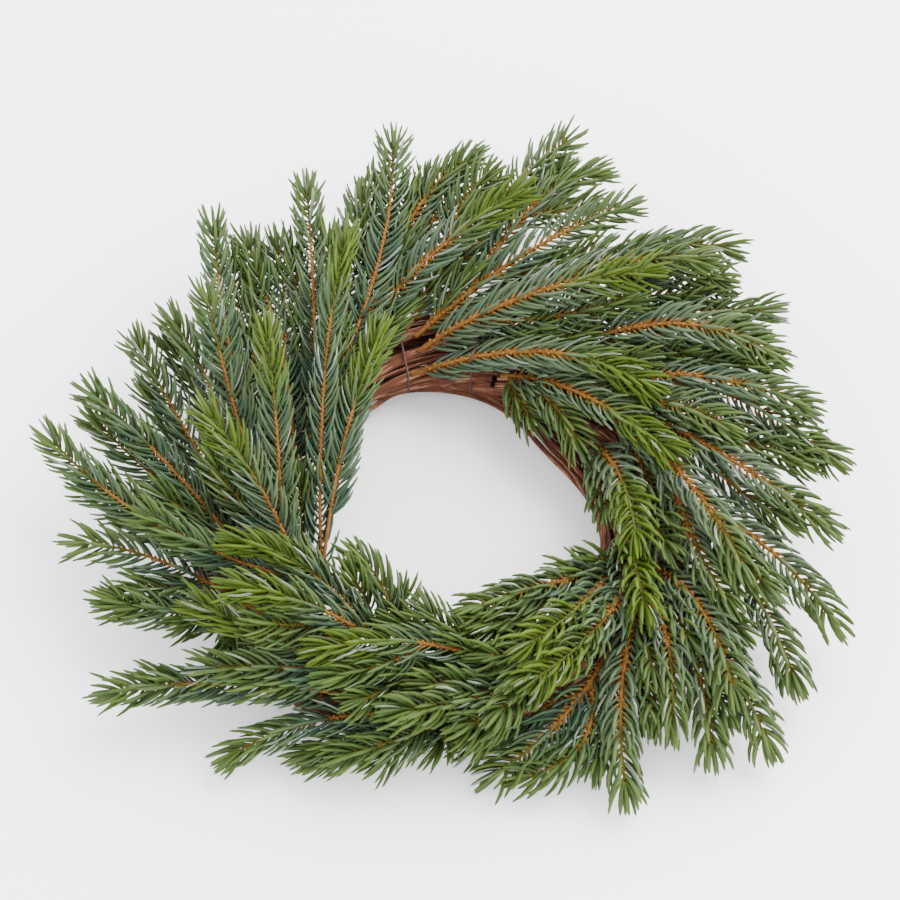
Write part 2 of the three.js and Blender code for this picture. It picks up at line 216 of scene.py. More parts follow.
def vine_path(vine, bearing):
    """Middle of a vine, or of a tendril when its number lies between two vines'. Its place in the ring's
    oval section makes one and a half turns as it goes once round: roll = the vine's share of half a turn +
    twists x bearing, reach = ring radius + half width x cosine of the roll, height = ring height + half
    height x sine of the roll, less a raised cosine of the drop at each foot where the vine is lowest."""
    roll = math.pi * vine / VINES + VINE_TWISTS * bearing
    reach = RING_RADIUS + RING_HALF_WIDTH * np.cos(roll)
    underside = np.maximum(0, -np.sin(roll)) ** FOOT_NARROWNESS
    away = (bearing[:, None] - FEET + math.pi) % (2 * math.pi) - math.pi
    share = np.minimum(np.abs(away) / FOOT_REACH, 1)
    drop = FOOT_DROP * underside * (1 + np.cos(math.pi * share)).sum(axis=1) / 2
    return round_ring(bearing, reach, RING_HEIGHT + RING_HALF_HEIGHT * np.sin(roll) - drop)


def vine_radii(run, draws):
    """Radius of a vine at each of its corners. Two ridges and five lower ones wind round it, each a cosine
    of the angle plus a wander that is a sum of two sines of the way along. At each bud it swells, most on
    one side, by a bell curve of the way to the bud."""
    turn = corner_angles(VINE_SIDES)[None]
    phase = draws.uniform(0, 2 * math.pi, 4)
    wander = (SLOW_WANDER * np.sin(run / SLOW_WANDER_LENGTH + phase[0])
              + LONG_WANDER * np.sin(run / LONG_WANDER_LENGTH + phase[1]))[:, None]
    ridges = (TWO_RIDGES * np.cos(2 * turn + wander + phase[2])
              + FIVE_RIDGES * np.cos(5 * turn - BACK_WANDER * wander + phase[3]))
    since_bud = (run + draws.uniform(0, BUD_SPACING)) % BUD_SPACING - BUD_SPACING / 2
    swell = BUD_SWELL * np.exp(-(since_bud / BUD_REACH) ** 2)[:, None]
    one_sided = 1 - BUD_ONE_SIDED + BUD_ONE_SIDED * np.cos(turn - phase[0])
    return VINE_RADIUS * (BETWEEN_RIDGES + ridges + swell * one_sided)


def swept(path, outward, radii):
    """Closed tube along a path: at each station the corners stand round it at equal angles from the
    outward direction, each at its own radius. A point on the path closes each end.
    Gives the points, the side faces, the end faces and how far round and along each point is."""
    stations, sides = radii.shape
    tangent = unit(np.gradient(path, axis=0))
    side = unit(outward - (outward * tangent).sum(axis=1, keepdims=True) * tangent)
    above = np.cross(tangent, side)
    turn = corner_angles(sides)
    reach = np.cos(turn)[None, :, None] * side[:, None] + np.sin(turn)[None, :, None] * above[:, None]
    corners = path[:, None] + radii[:, :, None] * reach
    points = np.concatenate([corners.reshape(-1, 3), path[[0, -1]]])
    row = np.arange(stations - 1)[:, None] * sides
    here = np.arange(sides)[None, :]
    onward = (here + 1) % sides
    bands = np.stack([row + here, row + onward, row + sides + onward, row + sides + here], axis=-1)
    last = (stations - 1) * sides
    middle = np.full(sides, stations * sides)
    ends = np.concatenate([
        np.stack([middle, onward[0], here[0]], axis=1),
        np.stack([middle + 1, last + here[0], last + onward[0]], axis=1),
    ])
    return points, bands.reshape(-1, 4), ends, np.tile(turn, stations), np.repeat(along_path(path), sides)


def new_piece(name, points, *faces):
    """A smooth-shaded mesh object at the origin, from its points and its arrays of four- or three-sided
    faces, which are joined end to end."""
    sizes = np.concatenate([np.full(len(group), group.shape[1]) for group in faces])
    mesh = bpy.data.meshes.new(name)
    mesh.vertices.add(len(points))
    mesh.vertices.foreach_set("co", points.astype(np.float32).ravel())
    mesh.loops.add(int(sizes.sum()))
    mesh.polygons.add(len(sizes))
    mesh.polygons.foreach_set("loop_start", np.cumsum(sizes) - sizes)
    mesh.polygons.foreach_set("vertices", np.concatenate([group.ravel() for group in faces]).astype(np.int32))
    mesh.update(calc_edges=True)
    mesh.shade_smooth()
    piece = bpy.data.objects.new(name, mesh)
    scene.collection.objects.link(piece)
    return piece


def add_attribute(piece, name, values):
    """One number, or one triple, for each point of a piece, which its material reads by name."""
    kind, field = ("FLOAT", "value") if values.ndim == 1 else ("FLOAT_VECTOR", "vector")
    layer = piece.data.attributes.new(name, kind, "POINT")
    layer.data.foreach_set(field, values.astype(np.float32).ravel())


def grain_of(turn, along, radius, stretch):
    """Where each point of a tube is in its grain: round the stem as a circle, and along it as a length that
    is divided by the stretch, so that a noise texture read there runs in fibres without a seam."""
    around = np.stack([np.cos(turn) * radius, np.sin(turn) * radius, along / stretch], axis=1)
    ends = np.zeros((2, 3))
    return np.concatenate([around, ends])


def read(tree, name, output="Fac"):
    """What a piece's attribute of that name says at each point."""
    node = tree.nodes.new("ShaderNodeAttribute")
    node.attribute_name = name
    return node.outputs[output]


def place_on_piece(tree):
    """Where each point of a piece is, in metres."""
    return tree.nodes.new("ShaderNodeTexCoord").outputs["Object"]


def noise(tree, place, scale, detail=2, roughness=0.5):
    """A cloudy pattern of values between 0 and 1, read at a place."""
    node = tree.nodes.new("ShaderNodeTexNoise")
    feed(tree, node.inputs["Vector"], place)
    feed(tree, node.inputs["Scale"], scale)
    feed(tree, node.inputs["Detail"], detail)
    feed(tree, node.inputs["Roughness"], roughness)
    return node.outputs["Fac"]


def worked_out(tree, operation, first, second):
    """Two values, added or subtracted."""
    node = tree.nodes.new("ShaderNodeMath")
    node.operation = operation
    feed(tree, node.inputs[0], first)
    feed(tree, node.inputs[1], second)
    return node.outputs[0]


def blend(tree, share, first, second):
    """A colour that goes from the first to the second as the share goes from 0 to 1."""
    node = tree.nodes.new("ShaderNodeMix")
    node.data_type = "RGBA"
    feed(tree, node.inputs["Factor"], share)
    feed(tree, node.inputs["A"], first)
    feed(tree, node.inputs["B"], second)
    return node.outputs["Result"]


def make_fibre_group():
    """Shader group for bark: a noise along the grain sorts dark bark from pale fibres, and a second, broad
    one stains it in patches. It gives the colour, how rough it is and the height for a bump."""
    group = bpy.data.node_groups.new("fibre_bark", "ShaderNodeTree")
    for name, way, kind in (
        ("Bark", "INPUT", "NodeSocketColor"),
        ("Fibre", "INPUT", "NodeSocketColor"),
        ("Stain", "INPUT", "NodeSocketColor"),
        ("Scale", "INPUT", "NodeSocketFloat"),
        ("Pale Share", "INPUT", "NodeSocketFloat"),
        ("Color", "OUTPUT", "NodeSocketColor"),
        ("Roughness", "OUTPUT", "NodeSocketFloat"),
        ("Height", "OUTPUT", "NodeSocketFloat"),
    ):
        group.interface.new_socket(name, in_out=way, socket_type=kind)
    given = group.nodes.new("NodeGroupInput").outputs
    result = group.nodes.new("NodeGroupOutput").inputs
    fibres = noise(group, read(group, "grain", "Vector"), given["Scale"], FIBRE_DETAIL, FIBRE_ROUGHNESS)
    full = worked_out(group, "ADD", given["Pale Share"], FIBRE_EDGE)
    pale = ramp(group, fibres, given["Pale Share"], full, smooth=True)
    patches = noise(group, place_on_piece(group), STAIN_SCALE, STAIN_DETAIL)
    stained = ramp(group, patches, *STAIN_FADE, top=STAIN_SHARE)
    bark = blend(group, pale, given["Bark"], given["Fibre"])
    feed(group, result["Color"], blend(group, stained, bark, given["Stain"]))
    feed(group, result["Roughness"], ramp(group, pale, 0.0, 1.0, *BARK_ROUGHNESS))
    feed(group, result["Height"], fibres)
    return group


fibre_group = make_fibre_group()


def bark_material(name, bark, fibre, stain, scale, pale_share, depth, young=None):
    """Matt bark: the fibre group's colour, roughness and height, as a bump of the given depth. Where its
    wood is young it has the young colour, if one is given."""
    material, tree, surface = new_material(name)
    surface["Specular IOR Level"].default_value = BARK_SHINE
    fibres = tree.nodes.new("ShaderNodeGroup")
    fibres.node_tree = fibre_group
    fibres.inputs["Bark"].default_value = bark
    fibres.inputs["Fibre"].default_value = fibre
    fibres.inputs["Stain"].default_value = stain
    fibres.inputs["Scale"].default_value = scale
    fibres.inputs["Pale Share"].default_value = pale_share
    colour = fibres.outputs["Color"]
    if young:
        colour = blend(tree, read(tree, "age"), colour, young)
    bump = tree.nodes.new("ShaderNodeBump")
    bump.inputs["Distance"].default_value = depth
    feed(tree, bump.inputs["Height"], fibres.outputs["Height"])
    feed(tree, surface["Base Color"], colour)
    feed(tree, surface["Roughness"], fibres.outputs["Roughness"])
    feed(tree, surface["Normal"], bump.outputs["Normal"])
    return material


vine_bark = bark_material("vine_bark", VINE_BROWN, VINE_FIBRE, VINE_STAIN,
                          VINE_GRAIN_SCALE, VINE_PALE_SHARE, VINE_GRAIN_DEPTH)

# The frame's origin is under the middle of the whole wreath, so the ring's own middle is read from its
# vines: it is the step from the middle of their routes to the middle of their boxes.
vine_boxes = np.array([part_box(f"vine_{vine + 1}") for vine in range(VINES)])
routes = np.concatenate([vine_path(vine, vine_bearings(vine)) for vine in range(VINES)])
box_ends = vine_boxes[:, 0].min(axis=0) + vine_boxes[:, 1].max(axis=0)
RING_CENTRE = (box_ends - routes.min(axis=0) - routes.max(axis=0)) / 2
RING_CENTRE[2] = 0

for vine in range(VINES):
    draws = np.random.default_rng(VINE_SEED + vine)
    path = vine_path(vine, vine_bearings(vine))
    radii = vine_radii(along_path(path), draws)
    points, bands, ends, around, along = swept(path + RING_CENTRE, path * (1, 1, 0), radii)
    points[:, 2] = np.maximum(points[:, 2], 0)
    strand = new_piece(f"vine_strand_{vine + 1}", points, bands, ends)
    add_attribute(strand, "grain", grain_of(around, along, VINE_RADIUS, VINE_GRAIN_STRETCH))
    strand.data.materials.append(vine_bark)
    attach(strand, "root")
    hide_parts(f"vine_{vine + 1}")

# Thin tendrils of the same vines run between them and close the ring. They wander more than the vines do,
# and along its inner edge some have come loose, and hang in over the hole at the upper right.
TENDRILS = 15
TENDRIL_SEED = 140
TENDRILS_BESIDE = 3
TENDRIL_RADII = np.array([1.0, 1.7]) * MM
TENDRIL_SIDES = 7
TENDRIL_WANDER = 0.35
TENDRIL_WAVES = (2, 5)
THICK_SHARE = 0.18
THICK_LENGTH = 23 * MM
ANY_PHASE = (0, 6)
LOOSE_ENDS = 10
LOOSE_SEED = 170
LOOSE_BEARINGS = np.radians([-64, 150])
LOOSE_SHIFT = 0.2
LOOSE_STATIONS = 120
LOOSE_REACH = 100 * MM
LOOSE_FLATNESS = 0.45
LOOSE_DROPS_MM = (-9, -1)
LOOSE_WAVE = 1.5 * MM
LOOSE_WAVES = 7
LOOSE_HANGS = np.array([14.5, 10]) * MM
HANG_BEARINGS = np.radians([34, 119])
HANG_SPREADS = np.radians([36, 10])


def add_tendril(name, path, vine, thickness, draws):
    """A tube of bark along a path, thicker and thinner by turns, as a sine of the way along. It goes with
    one of the vines."""
    run = along_path(path)
    thick = thickness * (1 + THICK_SHARE * np.sin(run / THICK_LENGTH + draws.uniform(*ANY_PHASE)))
    radii = np.repeat(thick[:, None], TENDRIL_SIDES, axis=1)
    points, bands, ends, around, along = swept(path + RING_CENTRE, path * (1, 1, 0), radii)
    points[:, 2] = np.maximum(points[:, 2], 0)
    tendril = new_piece(name, points, bands, ends)
    add_attribute(tendril, "grain", grain_of(around, along, TENDRIL_RADII[0], VINE_GRAIN_STRETCH))
    tendril.data.materials.append(vine_bark)
    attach(tendril, "root")
    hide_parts(f"vine_{vine + 1}")


for number in range(TENDRILS):
    draws = np.random.default_rng(TENDRIL_SEED + number)
    vine, rank = divmod(number, TENDRILS_BESIDE)
    bearing = vine_bearings(vine)
    waves = draws.integers(*TENDRIL_WAVES)
    wander = TENDRIL_WANDER * np.sin(waves * bearing + draws.uniform(*ANY_PHASE))
    path = vine_path(vine + (1 + rank) / (TENDRILS_BESIDE + 1) + wander, bearing)
    add_tendril(f"tendril_{number + 1}", path, vine, draws.uniform(*TENDRIL_RADII), draws)

for number in range(LOOSE_ENDS):
    draws = np.random.default_rng(LOOSE_SEED + number)
    first, last = LOOSE_BEARINGS + draws.uniform(-LOOSE_SHIFT, LOOSE_SHIFT, 2)
    bearing = np.linspace(first, last, LOOSE_STATIONS)
    arch = np.sin(np.linspace(0, math.pi, LOOSE_STATIONS)) ** LOOSE_FLATNESS
    bulges = np.exp(-((bearing[:, None] - HANG_BEARINGS) / HANG_SPREADS) ** 2)
    hang = number / (LOOSE_ENDS - 1) * (bulges @ LOOSE_HANGS)
    wave = LOOSE_WAVE * np.sin(LOOSE_WAVES * bearing + draws.uniform(*ANY_PHASE))
    reach = RING_RADIUS - (RING_RADIUS - LOOSE_REACH) * arch - hang + wave
    height = RING_HEIGHT + draws.uniform(*LOOSE_DROPS_MM) * MM * arch - wave
    path = round_ring(bearing, reach, height)
    add_tendril(f"loose_tendril_{number + 1}", path, number % VINES, draws.uniform(*TENDRIL_RADII), draws)

# Older vines lie side by side and low down inside the ring, in waves a little to the side and up and down,
# and fill it, so that the table doesn't show through.
CORES = 9
CORE_SEED = 190
CORE_RADIUS = 2.7 * MM
CORE_WIDTH = 21 * MM
CORE_DEPTH = 5.5 * MM
CORE_WAVE = 1.5 * MM
CORE_SIDE_WAVES = 3
CORE_HEIGHT_WAVES = 4
for number in range(CORES):
    draws = np.random.default_rng(CORE_SEED + number)
    bearing = np.linspace(0, 2 * math.pi, VINE_STATIONS)
    across = CORE_WIDTH * (2 * number / (CORES - 1) - 1)
    side_wave = CORE_WAVE * np.sin(CORE_SIDE_WAVES * bearing + draws.uniform(*ANY_PHASE))
    height_wave = CORE_WAVE * np.sin(CORE_HEIGHT_WAVES * bearing + draws.uniform(*ANY_PHASE))
    path = round_ring(bearing, RING_RADIUS + across + side_wave, RING_HEIGHT - CORE_DEPTH + height_wave)
    add_tendril(f"core_vine_{number + 1}", path, number % VINES, CORE_RADIUS, draws)

# Thin brown coated wire binds the sprays' cut ends to the ring. Each length is drawn tight round the vines
# and stems where it lies, so it keeps the frame's own route, with its square section made round.
WIRE_SWELL = 0.22 * MM
SAME_POINT = 0.001 * MM
FLAT_ANGLE = math.radians(1)
WIRE_ROUNDING = 2
WIRE_BROWN = (0.030, 0.016, 0.014, 1)
WIRE_WORN = (0.070, 0.040, 0.035, 1)
WIRE_SHINE = 0.1
WIRE_ROUGHNESS = (0.32, 0.55)
SCUFF_SCALE = 420
wire_coat, tree, surface = new_material("wire_coat")
scuffs = noise(tree, place_on_piece(tree), SCUFF_SCALE)
surface["Specular IOR Level"].default_value = WIRE_SHINE
feed(tree, surface["Base Color"], blend(tree, scuffs, WIRE_BROWN, WIRE_WORN))
feed(tree, surface["Roughness"], ramp(tree, scuffs, 0.0, 1.0, *WIRE_ROUGHNESS))

for node in sorted(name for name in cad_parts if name.startswith("binding_wire")):
    form = bmesh.new()
    form.from_mesh(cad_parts[node].data)
    bmesh.ops.remove_doubles(form, verts=form.verts, dist=SAME_POINT)
    bmesh.ops.dissolve_limit(form, angle_limit=FLAT_ANGLE, verts=form.verts, edges=form.edges)
    form.normal_update()
    for corner in form.verts:
        corner.co += corner.normal * WIRE_SWELL
    mesh = bpy.data.meshes.new(f"{node}_round")
    form.to_mesh(mesh)
    form.free()
    mesh.shade_smooth()
    mesh.materials.clear()
    mesh.materials.append(wire_coat)
    wire = bpy.data.objects.new(f"{node}_round", mesh)
    scene.collection.objects.link(wire)
    rounding = wire.modifiers.new("rounding", "SUBSURF")
    rounding.levels = WIRE_ROUNDING
    rounding.render_levels = WIRE_ROUNDING
    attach(wire, "root")
    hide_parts(node)

# The sprays' stems: freshly cut spruce twigs with orange-brown bark, each a main shoot with up to two side
# shoots and some smaller twigs. Their cut butts lie on the ring, under the wire, and they sweep clockwise
# and outwards, one over the other.
STEM_SEED = 7
STEM_SIDES = 8
STEM_STEP = 1.5 * MM
FEWEST_STATIONS = 8
BOW_STATIONS = 200
BUTT_RADIUS = 2.1 * MM
FORK_RADIUS = 1.7 * MM
TWIG_RADIUS = 1.3 * MM
TIP_RADIUS = 1.0 * MM
TWIG_SPREAD = 0.06
TWIG_LOOK_AHEAD = 0.02
SHORT_OF_TIP = 4.5 * MM
BARK_SHARES = {"left": 0.62, "lower_left": 0.68, "lower_right": 0.74, "right": 0.76, "top": 0.76}
RIDGES = {"left": 0.05, "lower_left": 0.09, "lower_right": 0.12, "right": 0.15, "top": 0.15}
RIDGES_ROUND = 3
RIDGE_LENGTH = 1.9 * MM
STEM_BROWN = (0.12, 0.050, 0.009, 1)
STEM_FIBRE = (0.20, 0.095, 0.018, 1)
STEM_STAIN = (0.06, 0.026, 0.009, 1)
STEM_YOUNG = (0.07, 0.09, 0.012, 1)
STEM_GRAIN_SCALE = 1500
STEM_PALE_SHARE = 0.48
STEM_GRAIN_DEPTH = 0.35 * MM
STEM_GRAIN_STRETCH = 5
NEW_GROWTH_LENGTH = 34 * MM
FRESH_FADE = (0.8 * NEW_GROWTH_LENGTH, 1.8 * NEW_GROWTH_LENGTH)
TIP_FADE = (0.3 * NEW_GROWTH_LENGTH, 1.7 * NEW_GROWTH_LENGTH)
TIP_AGE = 0.66
UPRIGHT = np.array([0.0, 0.0, 1.0])

# Each route in millimetres from the ring's middle on the table: the main shoot from its butt, by the middle
# of its bow, to its tip, then each side shoot from a share of the way along it. fresh marks bright new
# growth, bare how much of the butt has no needles, and pale how much painted sheen lightens its needles (a
# paler colour that stands in for the window's light on that side), where a spray differs from the others
# on its side of the ring.
SPRAYS = {
    "left": [
        {"main": [(-104, 4, 26.7), (-46, 132, 60), (-31, 254, 64)],
         "sides": [{"from": 0.2, "run": [(-79, 140, 60), (-85, 220, 60)]}]},
        {"main": [(-72, -72, 26.6), (-60, 14, 60), (-38, 100, 70)], "fresh": True, "bare": 62,
         "sides": [{"from": 0.12, "run": [(-70, 66, 72), (-58, 161, 86)], "fresh": True}]},
        {"main": [(-92, -44, 25.7), (-92, 66, 47), (-122, 184, 52)],
         "sides": [{"from": 0.6, "run": [(-98, 148, 50), (-104, 182, 52)]}]},
        {"main": [(-96, -30, 27), (-126, 82, 56), (-143, 190, 60)],
         "sides": []},
        {"main": [(-82, -64, 28.4), (-117, 25, 66), (-142, 121, 80)],
         "sides": [{"from": 0.15, "run": [(-97, 25, 78), (-105, 88, 90)], "fresh": True}]},
        {"main": [(-100, -46, 31.9), (-140, 18, 48), (-187, 107, 50)],
         "sides": [{"from": 0.15, "run": [(-134, 54, 58), (-165, 117, 62)]}]},
        {"main": [(-100, -60, 32.4), (-152, 2, 56), (-211, 64, 60)],
         "sides": [{"from": 0.15, "run": [(-176, -20, 54), (-233, 30, 60)]}]},
        {"main": [(-72, -82, 31), (-98, -24, 66), (-138, 35, 82)], "fresh": True,
         "sides": [{"from": 0.2, "run": [(-126, -52, 62), (-170, -29, 70)]}]},
    ],
    "lower_left": [
        {"main": [(-92, -84, 33), (-156, -50, 46), (-213, -33, 46)],
         "sides": [{"from": 0.15, "run": [(-150, -79, 43), (-194, -69, 40)]}]},
        {"main": [(-22, -104, 30.2), (-70, -92, 70), (-117, -84, 82)], "fresh": True,
         "sides": [{"from": 0.15, "run": [(-78, -64, 68), (-116, -53, 76)], "fresh": True},
                   {"from": 0.02, "run": [(-32, -74, 58), (-49, -52, 60)]}]},
        {"main": [(40, -112, 33.1), (-12, -108, 58), (-66, -117, 66)], "fresh": True,
         "sides": []},
        {"main": [(-8, -118, 32.7), (-72, -121, 50), (-133, -119, 48)],
         "sides": [{"from": 0.3, "run": [(-92, -106, 56), (-139, -84, 60)], "fresh": True}]},
        {"main": [(-44, -127, 27.5), (-124, -124, 38), (-190, -127, 32)],
         "sides": []},
        {"main": [(14, -134, 29.6), (-34, -150, 30), (-78, -158, 15)],
         "sides": [{"from": 0.05, "run": [(-14, -155, 36), (-54, -166, 30)]},
                   {"from": 0.25, "run": [(-66, -143, 30), (-119, -159, 18)]}]},
    ],
    "lower_right": [
        {"main": [(74, -118, 32.4), (24, -139, 48), (-17, -149, 50)], "pale": 0.0,
         "sides": [{"from": 0.25, "run": [(40, -143, 46), (15, -155, 46)]}]},
        {"main": [(107, -39, 32.7), (84, -82, 60), (51, -116, 70)], "fresh": True, "pale": 0.0,
         "sides": [{"from": 0.1, "run": [(62, -66, 52), (21, -84, 56)]},
                   {"from": 0.3, "run": [(58, -105, 52), (28, -113, 52)]}]},
        {"main": [(108, -14, 31.2), (103, -80, 58), (53, -137, 66)], "fresh": True, "pale": 0.0,
         "sides": [{"from": 0.1, "run": [(114, -52, 56), (119, -86, 60)], "fresh": True}]},
        {"main": [(92, 54, 24.9), (108, 6, 56), (115, -41, 64)], "fresh": True,
         "sides": []},
        {"main": [(98, -98, 28), (70, -142, 28), (33, -169, 13)], "pale": 0.0,
         "sides": [{"from": 0.2, "run": [(82, -156, 25), (50, -172, 15)]}]},
        {"main": [(122, -48, 34.1), (106, -122, 38), (107, -181, 18)],
         "sides": [{"from": 0.1, "run": [(132, -98, 46), (134, -146, 32)]}]},
        {"main": [(122, -26, 34.3), (146, -100, 40), (157, -158, 22)],
         "sides": [{"from": 0.12, "run": [(154, -84, 50), (169, -131, 44)]}]},
        {"main": [(128, -12, 29.2), (164, -96, 38), (189, -153, 22)],
         "sides": []},
        {"main": [(128, 12, 34.2), (186, -31, 48), (231, -80, 34)],
         "sides": [{"from": 0.3, "run": [(176, -45, 54), (191, -67, 52)]},
                   {"from": 0.15, "run": [(182, -58, 42), (207, -114, 28)]}]},
    ],
    "right": [
        {"main": [(106, 64, 32.3), (146, 2, 62), (177, -60, 62)],
         "sides": []},
        {"main": [(94, 82, 32.5), (160, 28, 58), (227, -24, 52)],
         "sides": [{"from": 0.15, "run": [(140, 54, 62), (171, 38, 64)]}]},
        {"main": [(80, 88, 33.4), (156, 74, 64), (219, 53, 62)],
         "sides": [{"from": 0.3, "run": [(182, 61, 58), (234, 23, 52)]}]},
        {"main": [(56, 104, 30.4), (135, 110, 68), (201, 88, 68)],
         "sides": [{"from": 0.4, "run": [(160, 124, 58), (201, 126, 58)]}]},
        {"main": [(58, 124, 32.6), (124, 170, 56), (179, 174, 58)],
         "sides": [{"from": 0.35, "run": [(148, 155, 61), (173, 147, 64)]}]},
    ],
    "top": [
        {"main": [(-14, 114, 32.8), (52, 128, 72), (126, 136, 86)], "fresh": True,
         "sides": [{"from": 0.3, "run": [(98, 152, 70), (161, 153, 76)]}]},
        {"main": [(-16, 126, 31.5), (52, 171, 57), (117, 208, 58)],
         "sides": [{"from": 0.25, "run": [(58, 212, 52), (99, 241, 50)]}]},
        {"main": [(-22, 132, 31.1), (32, 212, 48), (82, 271, 46)],
         "sides": [{"from": 0.2, "run": [(12, 205, 58), (30, 228, 64)]}]},
        {"main": [(-46, 112, 34.2), (-22, 194, 54), (18, 247, 58)],
         "sides": [{"from": 0.12, "run": [(-2, 168, 66), (50, 203, 80)], "fresh": True}]},
        {"main": [(38, 98, 30), (84, 66, 58), (136, 20, 66)], "fresh": True,
         "sides": [{"from": 0.12, "run": [(70, 64, 46), (84, 38, 44)]}]},
        {"main": [(-18, 100, 27.7), (62, 92, 64), (124, 62, 72)], "fresh": True,
         "sides": []},
    ],
}
# Smaller twigs that fork from these shoots, by spray: which of its shoots carries the twig (0 is the main
# one), from what share of the way along it, and the twig's tip.
TWIGS = {
    ("left", 1): [(0, 0.38, (-47, 216, 62)), (0, 0.3, (-26, 138, 44)), (0, 0.42, (-22, 189, 54)),
                  (0, 0.34, (-43, 200, 56)), (0, 0.55, (-21, 222, 58)), (0, 0.55, (-40, 228, 60)),
                  (1, 0.3, (-71, 182, 58)), (1, 0.35, (-93, 181, 54))],
    ("left", 2): [(0, 0.3, (-53, 59, 60)), (1, 0.25, (-64, 107, 66)), (0, 0.05, (-84, 8, 50))],
    ("left", 3): [(0, 0.45, (-131, 171, 50)), (0, 0.3, (-120, 116, 48)), (0, 0.3, (-87, 124, 50))],
    ("left", 4): [(0, 0.35, (-138, 117, 52)), (0, 0.4, (-117, 161, 52))],
    ("left", 5): [(0, 0.4, (-126, 73, 66))],
    ("left", 6): [(0, 0.35, (-166, 108, 48)), (0, 0.2, (-178, 72, 46))],
    ("left", 7): [(0, 0.35, (-208, 50, 52)), (1, 0.4, (-211, 1, 50)), (0, 0.12, (-179, 34, 54)),
                  (1, 0.4, (-205, 10, 50)), (1, 0.2, (-184, -18, 46)), (1, 0.03, (-166, -6, 54))],
    ("left", 8): [(0, 0.3, (-134, 9, 70)), (1, 0.3, (-153, -39, 58))],
    ("lower_left", 1): [(0, 0.35, (-178, -61, 42)), (1, 0.1, (-123, -99, 38)),
                        (1, 0.03, (-149, -84, 40)), (1, 0.5, (-190, -71, 38))],
    ("lower_left", 2): [(0, 0.1, (-51, -64, 60)), (0, 0.35, (-102, -101, 70)),
                        (0, 0.15, (-81, -57, 66)), (2, 0.1, (-23, -68, 44))],
    ("lower_left", 3): [(0, 0.2, (-8, -87, 56)), (0, 0.08, (8, -100, 54)), (0, 0.3, (-24, -92, 54)),
                        (0, 0.05, (-27, -120, 50)), (0, 0.12, (-9, -100, 40)), (0, 0.45, (-60, -129, 58))],
    ("lower_left", 4): [(0, 0.35, (-107, -127, 46)), (0, 0.1, (-46, -140, 48))],
    ("lower_left", 5): [(0, 0.35, (-166, -119, 34)), (0, 0.05, (-119, -105, 36))],
    ("lower_left", 6): [(0, 0.35, (-68, -162, 16)), (1, 0.3, (-33, -165, 20)), (0, 0.02, (-2, -159, 26))],
    ("lower_right", 1): [(0, 0.2, (9, -134, 48)), (0, 0.3, (-8, -130, 48)),
                         (0, 0.45, (-23, -149, 50)), (1, 0.3, (22, -156, 36))],
    ("lower_right", 2): [(0, 0.06, (30, -95, 52)), (1, 0.35, (47, -90, 50)), (1, 0.5, (20, -92, 50)),
                         (1, 0.1, (76, -54, 46)), (0, 0.03, (90, -44, 42)), (0, 0.5, (46, -135, 62)),
                         (2, 0.4, (22, -103, 44))],
    ("lower_right", 3): [(0, 0.5, (35, -152, 56)), (0, 0.25, (87, -107, 60))],
    ("lower_right", 4): [(0, 0.15, (101, -8, 42)), (0, 0.3, (135, -39, 52))],
    ("lower_right", 5): [(0, 0.3, (18, -154, 18)), (1, 0.3, (69, -160, 18))],
    ("lower_right", 6): [(0, 0.38, (117, -138, 28)), (0, 0.4, (91, -165, 18)),
                         (1, 0.4, (125, -141, 30)), (0, 0.2, (123, -119, 42))],
    ("lower_right", 7): [(0, 0.45, (166, -138, 32)), (0, 0.2, (146, -98, 44))],
    ("lower_right", 8): [(0, 0.3, (174, -92, 42)), (0, 0.15, (153, -77, 42))],
    ("right", 1): [(0, 0.35, (168, -77, 54)), (0, 0.12, (136, -20, 50))],
    ("right", 2): [(0, 0.35, (207, -20, 48)), (0, 0.35, (218, 18, 54))],
    ("right", 3): [(0, 0.35, (223, 28, 54)), (0, 0.15, (169, 38, 54))],
    ("right", 4): [(0, 0.2, (197, 84, 62)), (0, 0.12, (153, 97, 58)), (0, 0.35, (188, 105, 64)),
                   (0, 0.25, (186, 92, 56))],
    ("right", 5): [(0, 0.12, (155, 133, 56)), (0, 0.3, (135, 171, 50)), (0, 0.25, (171, 142, 58))],
    ("top", 1): [(0, 0.25, (116, 127, 70)), (0, 0.1, (56, 134, 60)), (1, 0.3, (132, 172, 66))],
    ("top", 2): [(0, 0.35, (99, 177, 56)), (0, 0.15, (75, 169, 52)), (1, 0.35, (77, 238, 52)),
                 (1, 0.45, (95, 217, 50)), (0, 0.08, (20, 160, 50))],
    ("top", 3): [(0, 0.5, (76, 247, 48)), (0, 0.2, (38, 210, 52)), (0, 0.05, (2, 172, 46)),
                 (1, 0.3, (32, 222, 56))],
    ("top", 4): [(0, 0.32, (14, 241, 56)), (0, 0.2, (-8, 232, 54)), (0, 0.04, (-20, 160, 46))],
    ("top", 5): [(0, 0.1, (91, 65, 52)), (0, 0.3, (127, 61, 58)), (0, 0.04, (58, 60, 36))],
    ("top", 6): [(0, 0.1, (62, 117, 54)), (0, 0.35, (122, 87, 62)), (0, 0.2, (88, 110, 56))],
}


def smooth_step(values, low, high):
    """Rises from 0 at low to 1 at high, level at both ends: 3t squared less 2t cubed."""
    t = np.clip((values - low) / (high - low), 0, 1)
    return t * t * (3 - 2 * t)


def bow(root, middle, tip, share):
    """Points of a shoot: the quadratic curve from root to tip that is at middle half-way."""
    control = 2 * middle - (root + tip) / 2
    t = share[:, None]
    return (1 - t) ** 2 * root + 2 * t * (1 - t) * control + t ** 2 * tip


def read_along(path, run, places):
    """Points of a path at places along it, each between the two stations that it lies between."""
    return np.stack([np.interp(places, run, path[:, axis]) for axis in range(3)], axis=1)


